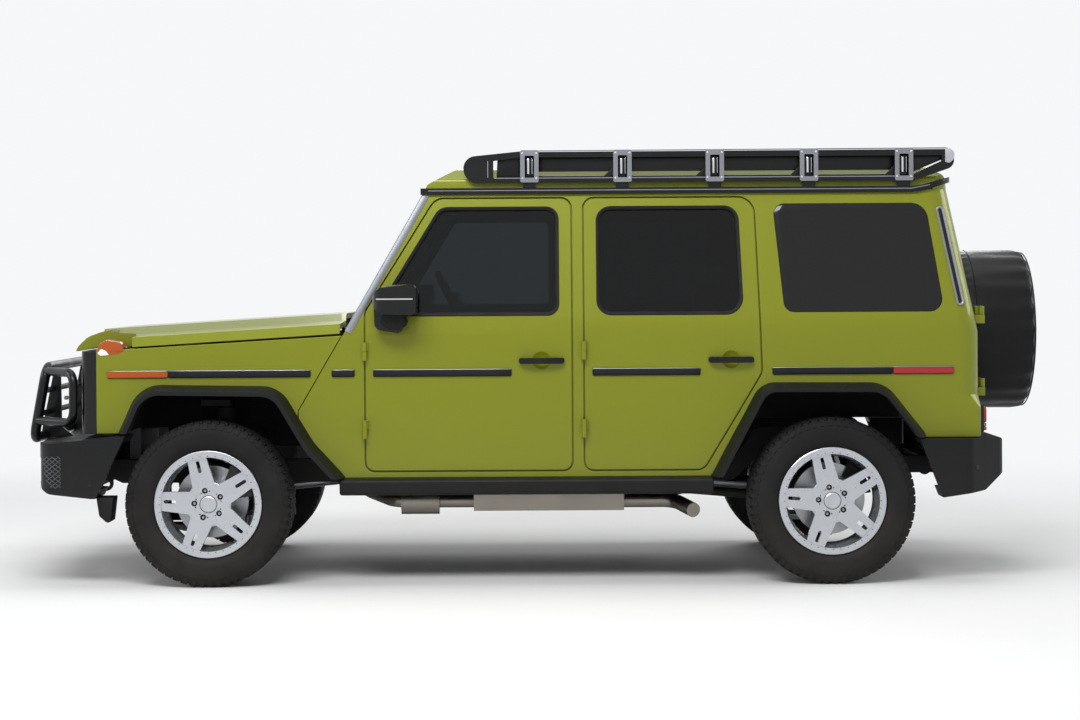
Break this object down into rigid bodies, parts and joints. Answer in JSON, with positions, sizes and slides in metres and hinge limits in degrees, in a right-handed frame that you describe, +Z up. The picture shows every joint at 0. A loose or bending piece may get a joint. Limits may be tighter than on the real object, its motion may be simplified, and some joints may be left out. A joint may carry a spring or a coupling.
{
  "type": "off-road 4x4, box-shaped five-door",
  "caption": "Lifted five-door off-road 4x4 in gloss green with black trim, brush guard, roof rack, alloy wheels and a covered spare wheel on the side-hinged tailgate.",
  "frame": {"origin": "on the ground under the middle of the vehicle's length and width", "axes": "+X forward, +Y to the vehicle's left, +Z up"},
  "size_m": [4.895, 2.108, 2.0248],
  "materials": {
    "body_green": "gloss olive-lime green paint",
    "trim_black": "grained black plastic",
    "gloss_black": "gloss black",
    "guard_black": "satin black powder coat",
    "chassis_black": "satin black frame paint",
    "cast_metal": "bare castings",
    "bare_steel": "bare steel",
    "exhaust_steel": "heat-toned steel",
    "underbody_plastic": "black liner plastic",
    "floor_black": "dark underseal",
    "tinted_glass": "dark tinted glass",
    "lamp_lens": "clear, amber and red lenses",
    "cabin_black": "soft black cabin plastic",
    "seat_leather": "black leather",
    "cover_vinyl": "black vinyl cover",
    "wheel_alloy": "silver painted alloy",
    "tyre_rubber": "black rubber"
  },
  "bodies": {
    "body": {"ladder_frame": "chassis_black", "cross_members": "chassis_black", "load_floor": "floor_black", "engine_and_gearbox": "cast_metal", "front_differential": "cast_metal", "front_suspension": "chassis_black", "steering_rack": "cast_metal", "rear_axle": "chassis_black", "rear_suspension": "chassis_black", "propeller_shafts": "bare_steel", "fuel_tank": "underbody_plastic", "exhaust": "exhaust_steel", "body_sides": "body_green", "floor_pan": "floor_black", "roof_panel": "body_green", "windscreen_frame": "body_green", "rear_frame": "body_green", "fixed_glass": "tinted_glass", "front_fenders": "body_green", "arch_liners": "underbody_plastic", "front_panel": "gloss_black", "grille": "gloss_black", "lamps": "lamp_lens", "front_bumper": "trim_black", "rear_bumper": "trim_black", "brush_guard": "guard_black", "arch_flares": "trim_black", "sill_covers": "trim_black", "roof_rack": "guard_black", "dashboard": "cabin_black", "front_seats": "seat_leather", "rear_seat": "seat_leather"},
    "knuckle_left": {"knuckle_left": "cast_metal"},
    "knuckle_right": {"knuckle_right": "cast_metal"},
    "wheel_front_left": {"rim_front_left": "wheel_alloy", "tyre_front_left": "tyre_rubber"},
    "wheel_front_right": {"rim_front_right": "wheel_alloy", "tyre_front_right": "tyre_rubber"},
    "wheel_rear_left": {"rim_rear_left": "wheel_alloy", "tyre_rear_left": "tyre_rubber"},
    "wheel_rear_right": {"rim_rear_right": "wheel_alloy", "tyre_rear_right": "tyre_rubber"},
    "steering_wheel": {"steering_wheel": "cabin_black"},
    "track_rod": {"track_rod": "bare_steel"},
    "door_front_left": {"door_front_left": "body_green", "glass_front_left": "tinted_glass", "mirror_left": "gloss_black"},
    "door_front_right": {"door_front_right": "body_green", "glass_front_right": "tinted_glass", "mirror_right": "gloss_black"},
    "door_rear_left": {"door_rear_left": "body_green", "glass_rear_left": "tinted_glass"},
    "door_rear_right": {"door_rear_right": "body_green", "glass_rear_right": "tinted_glass"},
    "tailgate": {"tailgate": "body_green", "tailgate_glass": "tinted_glass", "spare_wheel": "cover_vinyl"},
    "hood": {"hood": "body_green"}
  },
  "joints": [
    {"name": "steer_left", "type": "hinge", "parent": "body", "child": "knuckle_left", "pos_m": [1.5525, 0.68, 0.385], "axis": [0, 0, 1], "range_deg": [-30, 30]},
    {"name": "spin_front_left", "type": "hinge", "parent": "knuckle_left", "child": "wheel_front_left", "pos_m": [1.5525, 0.819, 0.385], "axis": [0, 1, 0], "continuous": true},
    {"name": "spin_rear_left", "type": "hinge", "parent": "body", "child": "wheel_rear_left", "pos_m": [-1.3375, 0.819, 0.385], "axis": [0, 1, 0], "continuous": true},
    {"name": "steer_right", "type": "hinge", "parent": "body", "child": "knuckle_right", "pos_m": [1.5525, -0.68, 0.385], "axis": [0, 0, 1], "range_deg": [-30, 30]},
    {"name": "spin_front_right", "type": "hinge", "parent": "knuckle_right", "child": "wheel_front_right", "pos_m": [1.5525, -0.819, 0.385], "axis": [0, 1, 0], "continuous": true},
    {"name": "spin_rear_right", "type": "hinge", "parent": "body", "child": "wheel_rear_right", "pos_m": [-1.3375, -0.819, 0.385], "axis": [0, 1, 0], "continuous": true},
    {"name": "steering_wheel_turn", "type": "hinge", "parent": "body", "child": "steering_wheel", "pos_m": [0.4225, 0.375, 1.288], "axis": [-0.8829, 0, 0.4695], "range_deg": [-460, 460]},
    {"name": "track_rod_slide", "type": "slide", "parent": "body", "child": "track_rod", "axis": [0, 1, 0], "range_m": [-0.076, 0.076]},
    {"name": "door_front_left_hinge", "type": "hinge", "parent": "body", "child": "door_front_left", "pos_m": [0.8275, 0.894, 1], "axis": [0, 0, -1], "range_deg": [0, 65]},
    {"name": "door_rear_left_hinge", "type": "hinge", "parent": "body", "child": "door_rear_left", "pos_m": [-0.1915, 0.894, 1], "axis": [0, 0, -1], "range_deg": [0, 65]},
    {"name": "door_front_right_hinge", "type": "hinge", "parent": "body", "child": "door_front_right", "pos_m": [0.8275, -0.894, 1], "axis": [0, 0, 1], "range_deg": [0, 65]},
    {"name": "door_rear_right_hinge", "type": "hinge", "parent": "body", "child": "door_rear_right", "pos_m": [-0.1915, -0.894, 1], "axis": [0, 0, 1], "range_deg": [0, 65]},
    {"name": "tailgate_hinge", "type": "hinge", "parent": "body", "child": "tailgate", "pos_m": [-2.0695, 0.708, 1.1], "axis": [0, 0, -1], "range_deg": [0, 92]},
    {"name": "hood_hinge", "type": "hinge", "parent": "body", "child": "hood", "pos_m": [0.9725, 0, 1.21], "axis": [0, -1, 0], "range_deg": [0, 50]}
  ],
  "couplings": [
    {"joint": "steer_right", "follows": "steer_left", "ratio": 1},
    {"joint": "steering_wheel_turn", "follows": "steer_left", "ratio": 15},
    {"joint": "track_rod_slide", "follows": "steer_left", "m_per_rad": -0.143}
  ]
}
